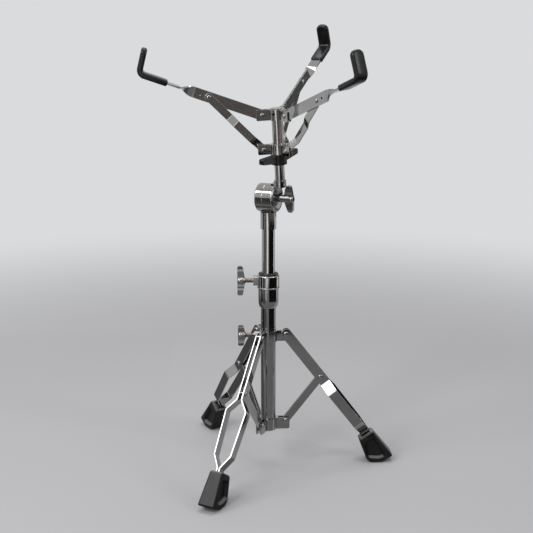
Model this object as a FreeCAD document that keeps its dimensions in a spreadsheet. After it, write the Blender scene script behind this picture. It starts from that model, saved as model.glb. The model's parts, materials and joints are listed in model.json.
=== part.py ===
import FreeCAD, Part
import Sketcher
import os

# Snare drum stand: a folding tripod of doubled flat-strip legs, a telescoping column with a
# height clamp, a tilter, and a three-armed basket that closes round the drum.
# Millimetres and degrees, Z up, floor at zero, the right leg along +X.
driving_sizes = {
    # Stance: where the column stands in the footprint, and the tripod's linkage
    "column_x": -6.0,
    "column_y": 11.4,
    "leg_length": 294.5,
    "leg_lean": 37.5,
    "pivot_reach": 30.0,
    "brace_length": 98.0,
    # Clearances and the overrun of every cut
    "fixed_fit": 0.05,
    "running_fit": 0.08,
    "side_clearance": 0.3,
    "overrun": 2.0,
    # Column tubes
    "base_tube_diameter": 25.4,
    "base_tube_wall": 1.2,
    "base_tube_length": 246.0,
    "upper_tube_diameter": 22.2,
    "upper_tube_wall": 1.2,
    "upper_tube_length": 285.0,
    # Leg strips, two to a leg, held apart by the inner gap at each station along the leg
    "leg_strip_width": 17.0,
    "leg_strip_gauge": 2.0,
    "leg_end_margin": 8.0,
    "leg_gap": 6.0,
    "leg_jog_margin": 6.8,
    "leg_jog_length": 19.0,
    "leg_belly_gap": 34.0,
    "leg_waist_length": 20.5,
    "leg_waist_gap": 27.0,
    "leg_toe_length": 4.5,
    "leg_toe_gap": 2.0,
    "leg_tail_length": 34.0,
    "leg_bend_radius": 5.0,
    # Rubber boots
    "boot_length": 64.5,
    "boot_face_length": 63.3,
    "boot_face_depth": 12.2,
    "boot_heel_length": 64.6,
    "boot_heel_depth": 16.0,
    "boot_top_width": 24.5,
    "boot_sole_width": 32.0,
    "boot_sole_heel_length": 36.0,
    "boot_sole_front_length": 10.0,
    "boot_toe_length": 11.0,
    "boot_toe_height": 11.5,
    "boot_edge_round": 3.0,
    "boot_toe_round": 7.0,
    # Braces, pressed channels between the leg strips
    "brace_width": 12.5,
    "brace_wall": 1.6,
    "brace_end_margin": 6.2,
    # Rivets
    "rivet_diameter": 5.0,
    "rivet_head_diameter": 9.0,
    "rivet_head_height": 2.2,
    "small_rivet_head_diameter": 7.4,
    "small_rivet_head_height": 1.8,
    # Leg collars
    "collar_wall": 2.2,
    "ear_gauge": 2.0,
    "ear_margin": 6.5,
    "ear_corner_round": 3.0,
    "lower_ear_top_height": 5.4,
    "lower_ear_foot_height": 15.0,
    "upper_collar_top_height": 6.0,
    "upper_collar_foot_height": 12.5,
    "collar_boss_diameter": 13.0,
    "collar_boss_reach": 24.0,
    "collar_bolt_depth": 2.0,
    "tube_stub_length": 1.2,
    # Height clamp and its nylon bushing
    "clamp_socket_depth": 27.0,
    "clamp_sleeve_foot_diameter": 29.5,
    "clamp_sleeve_diameter": 34.5,
    "clamp_sleeve_shoulder": 12.0,
    "clamp_sleeve_height": 34.0,
    "clamp_ring_diameter": 37.0,
    "clamp_height": 56.0,
    "clamp_slit_gap": 1.6,
    "clamp_slit_height": 36.0,
    "clamp_boss_reach": 25.5,
    "clamp_boss_width": 15.0,
    "clamp_boss_height": 15.0,
    "clamp_bolt_height": 46.0,
    "bushing_wall": 1.7,
    "bushing_flange_diameter": 33.0,
    "bushing_flange_height": 2.6,
    # Wing bolts and the tilter's wing nut
    "bolt_diameter": 8.0,
    "wing_hub_diameter": 13.0,
    "wing_hub_length": 14.0,
    "wing_gauge": 5.5,
    "wing_root_width": 13.5,
    "wing_tip_width": 9.0,
    "wing_tip_round": 3.0,
    "height_wing_span": 50.0,
    "height_wing_reach": 52.0,
    "collar_wing_span": 36.0,
    "collar_wing_reach": 51.5,
    "tilter_wing_span": 46.0,
    "tilter_wing_root_width": 18.0,
    "tilter_wing_tip_width": 7.8,
    "tilter_wing_sweep": 3.0,
    # Tilter
    "tilter_setting_height": 130.0,
    "tilter_turn": -27.4,
    "tilter_nut_turn": 13.0,
    "basket_tilt": 6.95,
    "drum_diameter": 47.0,
    "drum_left_length": 1.6,
    "drum_right_length": 9.0,
    "cap_length": 14.5,
    "cap_round": 3.0,
    "head_disc_length": 7.7,
    "dish_rim": 5.0,
    "dish_depth": 4.0,
    "head_boss_diameter": 15.0,
    "ferrule_diameter": 26.5,
    "ferrule_length": 28.0,
    "ferrule_top_distance": 23.9,
    "ferrule_bore_depth": 26.0,
    "neck_width": 26.4,
    "rod_offset": 22.3,
    "socket_diameter": 20.0,
    "socket_foot": 20.5,
    "socket_top": 31.0,
    "socket_rod_depth": 12.0,
    "bridge_width": 17.0,
    "bridge_top": 26.0,
    "tilter_bolt_head_diameter": 15.0,
    "tilter_bolt_head_depth": 5.0,
    "wing_nut_length": 28.0,
    # Basket rod and hubs
    "rod_diameter": 18.0,
    "rod_thread_diameter": 16.2,
    "rod_top_height": 1.2,
    "upper_hub_height": 138.6,
    "lower_hub_height": 82.9,
    "hub_diameter": 25.5,
    "hub_ear_margin": 9.4,
    "hub_ear_round": 2.0,
    "upper_hub_ear_height": 17.4,
    "lower_hub_ear_height": 16.0,
    "hub_gauge": 2.0,
    "hub_pivot_reach": 23.8,
    # Basket arms, their sleeves and struts
    "basket_turn": 209.1,
    "arm_rise": 22.4,
    "arm_width": 17.0,
    "arm_gauge": 3.0,
    "arm_end_margin": 7.5,
    "strut_hole_distance": 88.6,
    "spare_hole_distance": 103.0,
    "spare_hole_diameter": 4.0,
    "twist_start": 109.0,
    "twist_length": 31.0,
    "arm_corner": 202.3,
    "arm_corner_radius": 9.0,
    "upright_angle": 85.2,
    "upright_length": 35.5,
    "sleeve_gap": 16.0,
    "sleeve_width": 21.0,
    "sleeve_depth": 9.5,
    "sleeve_round": 4.0,
    "sleeve_tip_wall": 5.0,
    "sleeve_tip_round": 3.0,
    "strut_width": 12.5,
    "strut_gauge": 2.5,
    "strut_end_margin": 6.0,
    "strut_side_step": 4.7,
    "strut_low_bend": 13.0,
    "strut_low_bend_length": 12.0,
    "strut_high_bend": 62.0,
    "strut_high_bend_length": 14.0,
    "strut_bend_radius": 5.0,
    # Basket nut
    "nut_height": 17.0,
    "nut_diameter": 25.5,
    "nut_wing_span": 92.0,
    "nut_wing_gauge": 9.0,
    "nut_wing_root_height": 16.0,
    "nut_wing_tip_height": 9.0,
    "nut_wing_round": 2.5,
    "nut_turn": 256.4,
}

# Shares of a neighbouring size
rivet_dome_share = 0.9
strip_end_share = 0.45
plate_end_share = 0.8
channel_end_share = 0.9
hub_shoulder_share = 0.8
hub_cone_share = 0.3
hub_round_share = 0.6
flange_round_share = 0.4
short_edge_share = 1.5
corner_reach_share = 0.25

doc = FreeCAD.newDocument("snare_drum_stand")
sheet = doc.addObject("Spreadsheet::Sheet", "Sizes")
for row, (name, size) in enumerate(driving_sizes.items(), start=1):
    sheet.set(f"A{row}", name)
    sheet.set(f"B{row}", str(size))
    sheet.setAlias(f"B{row}", name)
doc.recompute()

V = FreeCAD.Vector
X_AXIS = V(1, 0, 0)
Y_AXIS = V(0, 1, 0)
Z_AXIS = V(0, 0, 1)
leg_angles = {"right": 0, "back": 120, "front": 240}
arm_angles = {"left": 0, "front": 120, "back": 240}
sub_parts = []


def number(expression):
    return float(sheet.evalExpression(expression))


def turn(axis, angle):
    return FreeCAD.Placement(V(), FreeCAD.Rotation(axis, number(angle)))


def shift(x="0", y="0", z="0"):
    return FreeCAD.Placement(V(number(x), number(y), number(z)), FreeCAD.Rotation())


# Sketch and feature helpers

def new_body(label, placement):
    body = doc.addObject("PartDesign::Body", label)
    body.Label = label
    body.AllowCompound = True
    body.Placement = placement
    sub_parts.append(body)
    return body


def origin_feature(body, role):
    return next(item for item in body.Origin.OriginFeatures if item.Role == role)


def new_sketch(body, plane, lift="0", spin="0"):
    sketch = body.newObject("Sketcher::SketchObject", "sketch")
    sketch.AttachmentSupport = [(origin_feature(body, plane), "")]
    sketch.MapMode = "FlatFace"
    sketch.AttachmentOffset = turn(Z_AXIS, spin)
    sketch.setExpression("AttachmentOffset.Base.z", lift)
    return sketch


def bind(sketch, kind, links, expression):
    index = sketch.addConstraint(Sketcher.Constraint(kind, *links, number(expression)))
    sketch.setExpression(f"Constraints[{index}]", expression)


def draw_path(sketch, corners, closed=True):
    """Straight runs between corners (across, up) or rounded corners (across, up, radius)."""
    points = [V(number(corner[0]), number(corner[1]), 0) for corner in corners]
    count = len(points)
    runs = count if closed else count - 1
    for i in range(runs):
        sketch.addGeometry(Part.LineSegment(points[i], points[(i + 1) % count]), False)
    for i in range(runs if closed else runs - 1):
        sketch.addConstraint(Sketcher.Constraint("Coincident", i, 2, (i + 1) % count, 1))
    for i, corner in enumerate(corners):
        end = (i, 1) if i < runs else (runs - 1, 2)
        bind(sketch, "DistanceX", (-1, 1, *end), corner[0])
        bind(sketch, "DistanceY", (-1, 1, *end), corner[1])
    for i, corner in enumerate(corners):
        if len(corner) == 3:
            before = points[i] + (points[i - 1] - points[i]) * corner_reach_share
            after = points[i] + (points[(i + 1) % count] - points[i]) * corner_reach_share
            sketch.fillet((i - 1) % count, i, before, after, number(corner[2]), True, True)
            bind(sketch, "Radius", (sketch.GeometryCount - 2,), corner[2])


def draw_circle(sketch, diameter, across="0", up="0"):
    centre = V(number(across), number(up), 0)
    index = sketch.addGeometry(Part.Circle(centre, Z_AXIS, number(diameter) / 2), False)
    bind(sketch, "Diameter", (index,), diameter)
    bind(sketch, "DistanceX", (-1, 1, index, 3), across)
    bind(sketch, "DistanceY", (-1, 1, index, 3), up)


def box_corners(left, right, low, high, radius=None):
    corners = [(left, low), (right, low), (right, high), (left, high)]
    return [(*corner, radius) for corner in corners] if radius else corners


def pad(body, sketch, length, symmetric=False, back=False):
    feature = body.newObject("PartDesign::Pad", "pad")
    feature.Profile = sketch
    feature.setExpression("Length", length)
    feature.SideType = "Symmetric" if symmetric else "One side"
    feature.Reversed = back
    doc.recompute()
    return feature


def pocket(body, sketch, length=None, symmetric=False, back=False):
    feature = body.newObject("PartDesign::Pocket", "pocket")
    feature.Profile = sketch
    feature.SideType = "Symmetric" if symmetric else "One side"
    feature.Reversed = back
    if length is None:
        feature.Type = "ThroughAll"
    else:
        feature.setExpression("Length", length)
    whole = body.Shape.Volume
    doc.recompute()
    if not body.Shape.Volume < whole:
        raise RuntimeError(f"{body.Label}: a cut missed the solid")
    return feature


def revolve(body, sketch, axis):
    feature = body.newObject("PartDesign::Revolution", "revolution")
    feature.Profile = sketch
    feature.ReferenceAxis = (sketch, [axis])
    feature.Angle = 360
    doc.recompute()
    return feature


def sweep(body, profile, spine, kind="PartDesign::AdditivePipe"):
    feature = body.newObject(kind, "sweep")
    feature.Profile = profile
    feature.Spine = (spine, [""])
    doc.recompute()
    return feature


def around(body, features, count=3):
    feature = body.newObject("PartDesign::PolarPattern", "pattern")
    feature.Originals = features
    feature.Axis = (origin_feature(body, "Z_Axis"), [""])
    feature.Angle = 360
    feature.Occurrences = count
    body.Tip = feature
    doc.recompute()
    return feature


def round_edges(body, radius, chosen):
    base = body.Tip
    edges = [f"Edge{i}" for i, edge in enumerate(base.Shape.Edges, start=1) if chosen(edge)]
    feature = body.newObject("PartDesign::Fillet", "fillet")
    feature.Base = (base, edges)
    feature.setExpression("Radius", radius)
    doc.recompute()
    return feature


# Heights and places that follow from the driving sizes

leg_pivot_height = "(Sizes.leg_length * cos(Sizes.leg_lean))"
brace_pivot_height = f"({leg_pivot_height} - 2 * Sizes.brace_length * cos(Sizes.leg_lean))"
tube_foot_height = f"({brace_pivot_height} - Sizes.lower_ear_foot_height - Sizes.tube_stub_length)"
tube_top_height = f"({tube_foot_height} + Sizes.base_tube_length)"
clamp_foot_height = f"({tube_top_height} - Sizes.clamp_socket_depth)"
clamp_top_height = f"({clamp_foot_height} + Sizes.clamp_height)"
tilter_height = f"({clamp_top_height} + Sizes.tilter_setting_height)"
tube_hole = "(Sizes.base_tube_diameter - 2 * Sizes.base_tube_wall)"
collar_diameter = "(Sizes.base_tube_diameter + 2 * Sizes.collar_wall)"
lug_width = "(Sizes.leg_gap - 2 * Sizes.side_clearance)"
rivet_hole = "(Sizes.rivet_diameter + 2 * Sizes.running_fit)"

column = shift("Sizes.column_x", "Sizes.column_y")
tilter_frame = column * shift(z=tilter_height) * turn(Z_AXIS, "Sizes.tilter_turn")
basket_frame = tilter_frame * turn(X_AXIS, "Sizes.basket_tilt") * shift(x="Sizes.rod_offset")


def leg_frame(azimuth):
    """X runs down the leg from its pivot, Y across the strips, Z square to both."""
    pivot = shift(x="Sizes.pivot_reach", z=leg_pivot_height)
    return column * turn(Z_AXIS, str(azimuth)) * pivot * turn(Y_AXIS, "90 - Sizes.leg_lean")


def brace_frame(azimuth):
    """X runs up the brace from the lower collar's pivot to the leg's rivet."""
    pivot = shift(x="Sizes.pivot_reach", z=brace_pivot_height)
    return column * turn(Z_AXIS, str(azimuth)) * pivot * turn(Y_AXIS, "Sizes.leg_lean - 90")


# Rivets

def rivet(body, along, grip, head_diameter, head_height, centre="0"):
    """A closed rivet across Y: a shank through the grip and a domed head on each side."""
    sketch = new_sketch(body, "XY_Plane")
    half = f"({grip}) / 2"
    radius = "Sizes.rivet_diameter / 2"
    head = f"{head_diameter} / 2"
    dome = f"{head_height} * {rivet_dome_share}"
    outer = f"{half} + {head_height}"
    corners = [("0", f"{centre} - ({outer})"), (head, f"{centre} - ({outer})", dome),
               (head, f"{centre} - ({half})"), (radius, f"{centre} - ({half})"),
               (radius, f"{centre} + {half}"), (head, f"{centre} + {half}"),
               (head, f"{centre} + {outer}", dome), ("0", f"{centre} + {outer}")]
    sketch.setExpression("AttachmentOffset.Base.x", along)
    draw_path(sketch, corners)
    return revolve(body, sketch, "V_Axis")


def half_rivet(body, along, face, depth, head_diameter, head_height, side):
    """A rivet's head on a plate's outer face with its short shank in the plate."""
    sketch = new_sketch(body, "XY_Plane")
    radius = "Sizes.rivet_diameter / 2"
    head = f"{head_diameter} / 2"
    dome = f"{head_height} * {rivet_dome_share}"
    inner = f"{side} * (({face}) - ({depth}))"
    seat = f"{side} * ({face})"
    crown = f"{side} * (({face}) + {head_height})"
    corners = [("0", inner), (radius, inner), (radius, seat), (head, seat), (head, crown, dome),
               ("0", crown)]
    sketch.setExpression("AttachmentOffset.Base.x", along)
    draw_path(sketch, corners)
    return revolve(body, sketch, "V_Axis")


# Column base: tube, lower collar and its pivot rivets

def ring_with_ears(body, ring, bore, low, high, reach, width, gap, round_radius, hole):
    """A sleeve with three pairs of ears; the pivots lie at reach from the axis, at height zero."""
    sketch = new_sketch(body, "XY_Plane", low)
    draw_circle(sketch, ring)
    pad(body, sketch, f"{high} - ({low})")
    ear_root = f"({ring}) / 2 - Sizes.collar_wall / 2"
    sketch = new_sketch(body, "XZ_Plane")
    draw_path(sketch, [(ear_root, low), (reach, low, round_radius), (reach, high, round_radius),
                       (ear_root, high)])
    ear = pad(body, sketch, width, symmetric=True)
    features = [ear]
    if gap:
        slot_root = f"({ring}) / 2 + Sizes.collar_wall"
        sketch = new_sketch(body, "XZ_Plane")
        draw_path(sketch, box_corners(slot_root, f"{reach} + Sizes.overrun", f"{low} - Sizes.overrun",
                                      f"{high} + Sizes.overrun"))
        features.append(pocket(body, sketch, gap, symmetric=True))
    if hole:
        sketch = new_sketch(body, "XZ_Plane")
        draw_circle(sketch, hole[0], hole[1])
        features.append(pocket(body, sketch, f"{width} + Sizes.overrun", symmetric=True))
    around(body, features)
    sketch = new_sketch(body, "XY_Plane", f"{low} - Sizes.overrun")
    draw_circle(sketch, bore)
    pocket(body, sketch, f"{high} - ({low}) + 2 * Sizes.overrun", back=True)


def make_base_tube():
    body = new_body("base_tube", column * shift(z=tube_foot_height))
    sketch = new_sketch(body, "XY_Plane")
    draw_circle(sketch, "Sizes.base_tube_diameter")
    draw_circle(sketch, tube_hole)
    pad(body, sketch, "Sizes.base_tube_length")


def make_lower_collar():
    ear_width = f"({lug_width} + 2 * Sizes.side_clearance + 2 * Sizes.ear_gauge)"
    body = new_body("lower_collar", column * shift(z=brace_pivot_height))
    ring_with_ears(body, collar_diameter, "Sizes.base_tube_diameter + 2 * Sizes.fixed_fit",
                   "-Sizes.lower_ear_foot_height", "Sizes.lower_ear_top_height",
                   "Sizes.pivot_reach + Sizes.ear_margin", ear_width, "Sizes.leg_gap",
                   "Sizes.ear_corner_round", (rivet_hole, "Sizes.pivot_reach"))
    pins = new_body("brace_pivot_rivets", column * shift(z=brace_pivot_height))
    shank = rivet(pins, "Sizes.pivot_reach", ear_width, "Sizes.rivet_head_diameter",
                  "Sizes.rivet_head_height")
    around(pins, [shank])


# Sliding leg collar and its wing bolt

def make_leg_collar():
    body = new_body("leg_collar", column * shift(z=leg_pivot_height))
    ring_with_ears(body, collar_diameter, "Sizes.base_tube_diameter + 2 * Sizes.running_fit",
                   "-Sizes.upper_collar_foot_height", "Sizes.upper_collar_top_height",
                   "Sizes.pivot_reach + Sizes.ear_margin", lug_width, None, "Sizes.ear_corner_round", None)
    sketch = new_sketch(body, "YZ_Plane", "-Sizes.collar_boss_reach")
    draw_circle(sketch, "Sizes.collar_boss_diameter", up="-Sizes.collar_bolt_depth")
    pad(body, sketch, "Sizes.collar_boss_reach - Sizes.base_tube_diameter / 2 - Sizes.collar_wall / 2")
    sketch = new_sketch(body, "YZ_Plane", "-Sizes.collar_boss_reach - Sizes.overrun")
    draw_circle(sketch, "Sizes.bolt_diameter + 2 * Sizes.running_fit", up="-Sizes.collar_bolt_depth")
    pocket(body, sketch, "Sizes.collar_boss_reach + Sizes.overrun - Sizes.base_tube_diameter / 4", back=True)


def wing_outline(body, inner_root, inner_tip, outer_tip, outer_root, span):
    """Two wings across the bolt's axis as one outline, its places given along the axis."""
    half = f"{span} / 2"
    edge = "Sizes.wing_tip_round"
    sketch = new_sketch(body, "XZ_Plane")
    draw_path(sketch, [(inner_root, "0"), (inner_tip, f"-{half}", edge), (outer_tip, f"-{half}", edge),
                       (outer_root, "0"), (outer_tip, half, edge), (inner_tip, half, edge)])
    return pad(body, sketch, "Sizes.wing_gauge", symmetric=True)


def make_wing_bolt(label, height, inner_end, reach, span):
    """X points out from the column; the shank ends clear of the tube and the hub ends at reach."""
    body = new_body(label, column * shift(z=height) * turn(Z_AXIS, "180"))
    hub = "Sizes.wing_hub_diameter / 2"
    shank = "Sizes.bolt_diameter / 2"
    hub_start = f"({reach} - Sizes.wing_hub_length)"
    sketch = new_sketch(body, "XZ_Plane")
    draw_path(sketch, [(inner_end, "0"), (inner_end, shank), (hub_start, shank),
                       (hub_start, f"{hub} * {hub_shoulder_share}"),
                       (f"{hub_start} + Sizes.wing_hub_length * {hub_cone_share}", hub),
                       (reach, hub, f"{hub} * {hub_round_share}"), (reach, "0")])
    revolve(body, sketch, "H_Axis")
    wing_outline(body, f"{reach} - Sizes.wing_root_width", f"{reach} - Sizes.wing_tip_width",
                 reach, reach, span)


# Legs, boots and braces

boot_start = "(Sizes.leg_length - Sizes.boot_length)"


def make_leg(name, azimuth):
    frame = leg_frame(azimuth)
    strip_lift = "Sizes.leg_strip_gauge / 2"
    jog_start = "Sizes.brace_length + Sizes.brace_end_margin + Sizes.leg_jog_margin"
    toe_bend = f"{boot_start} - Sizes.leg_toe_length"
    bend = "Sizes.leg_bend_radius"
    stations = [("-Sizes.leg_end_margin", "Sizes.leg_gap"), (jog_start, "Sizes.leg_gap", bend),
                (f"{jog_start} + Sizes.leg_jog_length", "Sizes.leg_belly_gap", bend),
                (f"{toe_bend} - Sizes.leg_waist_length", "Sizes.leg_waist_gap", bend),
                (toe_bend, "Sizes.leg_toe_gap", bend),
                (f"{boot_start} + Sizes.leg_tail_length", "Sizes.leg_toe_gap")]
    for side_name, side in (("left", 1), ("right", -1)):
        body = new_body(f"leg_{name}_{side_name}_strip", frame)
        spine = new_sketch(body, "XY_Plane")
        draw_path(spine, [(along, f"{side} * ({gap} / 2 + {strip_lift})", *radius)
                          for along, gap, *radius in stations], False)
        profile = new_sketch(body, "YZ_Plane", "-Sizes.leg_end_margin")
        inner = f"{side} * Sizes.leg_gap / 2"
        outer = f"{side} * (Sizes.leg_gap / 2 + Sizes.leg_strip_gauge)"
        half = "Sizes.leg_strip_width / 2"
        draw_path(profile, box_corners(inner, outer, f"-{half}", half))
        sweep(body, profile, spine)
        sketch = new_sketch(body, "XZ_Plane")
        draw_circle(sketch, "Sizes.rivet_diameter + 2 * Sizes.fixed_fit")
        draw_circle(sketch, "Sizes.rivet_diameter + 2 * Sizes.fixed_fit", "Sizes.brace_length")
        pocket(body, sketch, "Sizes.leg_belly_gap", symmetric=True)
        top = number("-Sizes.leg_end_margin")
        round_edges(body, f"Sizes.leg_strip_width * {strip_end_share}",
                    lambda edge: edge.Length < number(f"Sizes.leg_strip_gauge * {short_edge_share}")
                    and edge.BoundBox.XMax < top + number("Sizes.fixed_fit"))
    body = new_body(f"leg_{name}_rivets", frame)
    for side in (1, -1):
        half_rivet(body, "0", "Sizes.leg_gap / 2 + Sizes.leg_strip_gauge", "Sizes.leg_strip_gauge",
                   "Sizes.rivet_head_diameter", "Sizes.rivet_head_height", side)
    rivet(body, "Sizes.brace_length", "Sizes.leg_gap + 2 * Sizes.leg_strip_gauge",
          "Sizes.rivet_head_diameter", "Sizes.rivet_head_height")
    make_boot(f"leg_{name}_boot", frame)
    make_brace(f"leg_{name}_brace", azimuth)


def from_floor(out, up):
    """A point given outwards and up from where the leg's middle line meets the floor."""
    along = f"Sizes.leg_length + ({out}) * sin(Sizes.leg_lean) - ({up}) * cos(Sizes.leg_lean)"
    square = f"({out}) * cos(Sizes.leg_lean) + ({up}) * sin(Sizes.leg_lean)"
    return along, square


def make_boot(label, frame):
    body = new_body(label, frame)
    edge = "Sizes.boot_edge_round"
    toe = "Sizes.boot_toe_round"
    sketch = new_sketch(body, "XZ_Plane")
    draw_path(sketch, [("Sizes.leg_length - Sizes.boot_heel_length", "-Sizes.boot_heel_depth"),
                       (*from_floor("-Sizes.boot_sole_heel_length", "0"), edge),
                       (*from_floor("-Sizes.boot_sole_front_length", "0"), toe),
                       (*from_floor("Sizes.boot_toe_length", "Sizes.boot_toe_height"), toe),
                       ("Sizes.leg_length - Sizes.boot_face_length", "Sizes.boot_face_depth")])
    pad(body, sketch, "Sizes.boot_sole_width", symmetric=True)
    near = "Sizes.leg_length - Sizes.boot_heel_length - Sizes.overrun"
    far = "Sizes.leg_length + Sizes.boot_toe_length"
    for side in (1, -1):
        sole_side = f"{side} * Sizes.boot_sole_width / 2"
        outside = f"{side} * (Sizes.boot_sole_width / 2 + Sizes.overrun)"
        sketch = new_sketch(body, "XY_Plane")
        draw_path(sketch, [(near, f"{side} * Sizes.boot_top_width / 2"), (far, sole_side), (far, outside),
                           (near, outside)])
        pocket(body, sketch, "Sizes.leg_length", symmetric=True)
    side_limit = number("Sizes.boot_top_width / 4")
    round_edges(body, edge, lambda item: item.BoundBox.YMin > side_limit or item.BoundBox.YMax < -side_limit)
    across = "(Sizes.leg_toe_gap / 2 + Sizes.leg_strip_gauge + Sizes.fixed_fit)"
    tall = "(Sizes.leg_strip_width / 2 + Sizes.fixed_fit)"
    sketch = new_sketch(body, "YZ_Plane", near)
    draw_path(sketch, box_corners(f"-{across}", across, f"-{tall}", tall))
    pocket(body, sketch, f"{boot_start} + Sizes.leg_tail_length + Sizes.overrun - ({near})", back=True)


def make_brace(label, azimuth):
    """A pressed channel, its web on the underside, between the ears and between the leg strips."""
    body = new_body(label, brace_frame(azimuth))
    half = "Sizes.brace_width / 2"
    start = "-Sizes.brace_end_margin"
    end = "Sizes.brace_length + Sizes.brace_end_margin"
    sketch = new_sketch(body, "XZ_Plane")
    draw_path(sketch, box_corners(start, end, f"-{half}", half, f"{half} * {channel_end_share}"))
    pad(body, sketch, lug_width, symmetric=True)
    sketch = new_sketch(body, "XZ_Plane")
    draw_path(sketch, box_corners(f"{start} - Sizes.overrun", f"{end} + Sizes.overrun",
                                  f"-{half} + Sizes.brace_wall", f"{half} + Sizes.overrun"))
    pocket(body, sketch, f"{lug_width} - 2 * Sizes.brace_wall", symmetric=True)
    sketch = new_sketch(body, "XZ_Plane")
    draw_circle(sketch, rivet_hole)
    draw_circle(sketch, rivet_hole, "Sizes.brace_length")
    pocket(body, sketch, f"{lug_width} + Sizes.overrun", symmetric=True)


# Height clamp, bushing and upper tube

def make_height_clamp():
    body = new_body("height_clamp", column * shift(z=clamp_foot_height))
    foot = "Sizes.clamp_sleeve_foot_diameter / 2"
    sleeve = "Sizes.clamp_sleeve_diameter / 2"
    ring = "Sizes.clamp_ring_diameter / 2"
    sketch = new_sketch(body, "XZ_Plane")
    shoulder = "Sizes.clamp_sleeve_shoulder"
    draw_path(sketch, [("0", "0"), (foot, "0"), (sleeve, shoulder, shoulder),
                       (sleeve, "Sizes.clamp_sleeve_height"), (ring, "Sizes.clamp_sleeve_height"),
                       (ring, "Sizes.clamp_height", "Sizes.collar_wall"), ("0", "Sizes.clamp_height")])
    revolve(body, sketch, "V_Axis")
    sketch = new_sketch(body, "YZ_Plane", "-Sizes.clamp_boss_reach")
    width = "Sizes.clamp_boss_width / 2"
    height = "Sizes.clamp_boss_height / 2"
    draw_path(sketch, box_corners(f"-{width}", width, f"Sizes.clamp_bolt_height - {height}",
                                  f"Sizes.clamp_bolt_height + {height}", "Sizes.collar_wall"))
    pad(body, sketch, "Sizes.clamp_boss_reach - Sizes.base_tube_diameter / 2")
    sketch = new_sketch(body, "YZ_Plane", "-Sizes.clamp_boss_reach - Sizes.overrun")
    draw_circle(sketch, "Sizes.bolt_diameter + 2 * Sizes.running_fit", up="Sizes.clamp_bolt_height")
    pocket(body, sketch, "Sizes.clamp_boss_reach + Sizes.overrun - Sizes.base_tube_diameter / 4", back=True)
    sketch = new_sketch(body, "XY_Plane", "-Sizes.overrun")
    draw_circle(sketch, "Sizes.base_tube_diameter + 2 * Sizes.fixed_fit")
    pocket(body, sketch, "Sizes.clamp_socket_depth + Sizes.overrun", back=True)
    sketch = new_sketch(body, "XY_Plane", "Sizes.clamp_height + Sizes.overrun")
    draw_circle(sketch, bushing_seat)
    pocket(body, sketch, "Sizes.clamp_height - Sizes.clamp_socket_depth + Sizes.overrun")
    sketch = new_sketch(body, "XY_Plane", "Sizes.clamp_slit_height")
    slit_reach = "Sizes.clamp_ring_diameter"
    draw_path(sketch, box_corners("0", slit_reach, f"-{slit_reach}", slit_reach))
    pocket(body, sketch, "Sizes.clamp_slit_gap", back=True)


bushing_outer = "(Sizes.upper_tube_diameter + 2 * Sizes.running_fit + 2 * Sizes.bushing_wall)"
bushing_seat = f"({bushing_outer} + 2 * Sizes.running_fit)"


def make_bushing():
    body = new_body("height_bushing", column * shift(z=clamp_top_height))
    bore = "Sizes.upper_tube_diameter / 2 + Sizes.running_fit"
    outer = f"{bushing_outer} / 2"
    flange = "Sizes.bushing_flange_diameter / 2"
    foot = "-(Sizes.clamp_height - Sizes.clamp_socket_depth) + Sizes.side_clearance"
    sketch = new_sketch(body, "XZ_Plane")
    rise = "Sizes.bushing_flange_height"
    draw_path(sketch, [(bore, foot), (outer, foot), (outer, "Sizes.running_fit"),
                       (flange, "Sizes.running_fit"), (flange, rise, f"{rise} * {flange_round_share}"),
                       (bore, rise)])
    revolve(body, sketch, "V_Axis")


def make_upper_tube():
    top = f"{tilter_height} - Sizes.ferrule_top_distance - Sizes.ferrule_length + Sizes.ferrule_bore_depth"
    body = new_body("upper_tube", column * shift(z=f"{top} - Sizes.upper_tube_length"))
    sketch = new_sketch(body, "XY_Plane")
    draw_circle(sketch, "Sizes.upper_tube_diameter")
    draw_circle(sketch, "Sizes.upper_tube_diameter - 2 * Sizes.upper_tube_wall")
    pad(body, sketch, "Sizes.upper_tube_length")


# Tilter: X runs along the tilt axis, from the cap to the wing nut

def make_tilter_base():
    body = new_body("tilter_base", tilter_frame)
    radius = "Sizes.drum_diameter / 2"
    bolt = "Sizes.bolt_diameter / 2 + Sizes.running_fit"
    sketch = new_sketch(body, "XZ_Plane")
    draw_path(sketch, box_corners("-Sizes.drum_left_length", "Sizes.drum_right_length", bolt, radius))
    revolve(body, sketch, "H_Axis")
    sketch = new_sketch(body, "XY_Plane", "-Sizes.ferrule_top_distance - Sizes.ferrule_length")
    draw_circle(sketch, "Sizes.ferrule_diameter")
    pad(body, sketch, "Sizes.ferrule_length")
    sketch = new_sketch(body, "XY_Plane", "-Sizes.ferrule_top_distance")
    neck = "Sizes.neck_width / 2"
    draw_path(sketch, box_corners("-Sizes.drum_left_length", "Sizes.drum_right_length", f"-{neck}", neck))
    pad(body, sketch, "Sizes.ferrule_top_distance - Sizes.drum_diameter / 4")
    below = "Sizes.ferrule_top_distance + Sizes.ferrule_length + Sizes.overrun"
    sketch = new_sketch(body, "XY_Plane", f"-({below})")
    draw_circle(sketch, "Sizes.upper_tube_diameter + 2 * Sizes.fixed_fit")
    pocket(body, sketch, "Sizes.ferrule_bore_depth + Sizes.overrun", back=True)


def make_tilter_cap():
    body = new_body("tilter_cap", tilter_frame)
    radius = "Sizes.drum_diameter / 2"
    bolt = "Sizes.bolt_diameter / 2 + Sizes.running_fit"
    head = "Sizes.tilter_bolt_head_diameter / 2 + Sizes.running_fit"
    outer = "-Sizes.drum_left_length - Sizes.cap_length"
    seat = f"{outer} + Sizes.tilter_bolt_head_depth"
    sketch = new_sketch(body, "XZ_Plane")
    draw_path(sketch, [("-Sizes.drum_left_length", bolt), ("-Sizes.drum_left_length", radius),
                       (outer, radius, "Sizes.cap_round"), (outer, head), (seat, head), (seat, bolt)])
    revolve(body, sketch, "H_Axis")


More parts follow.
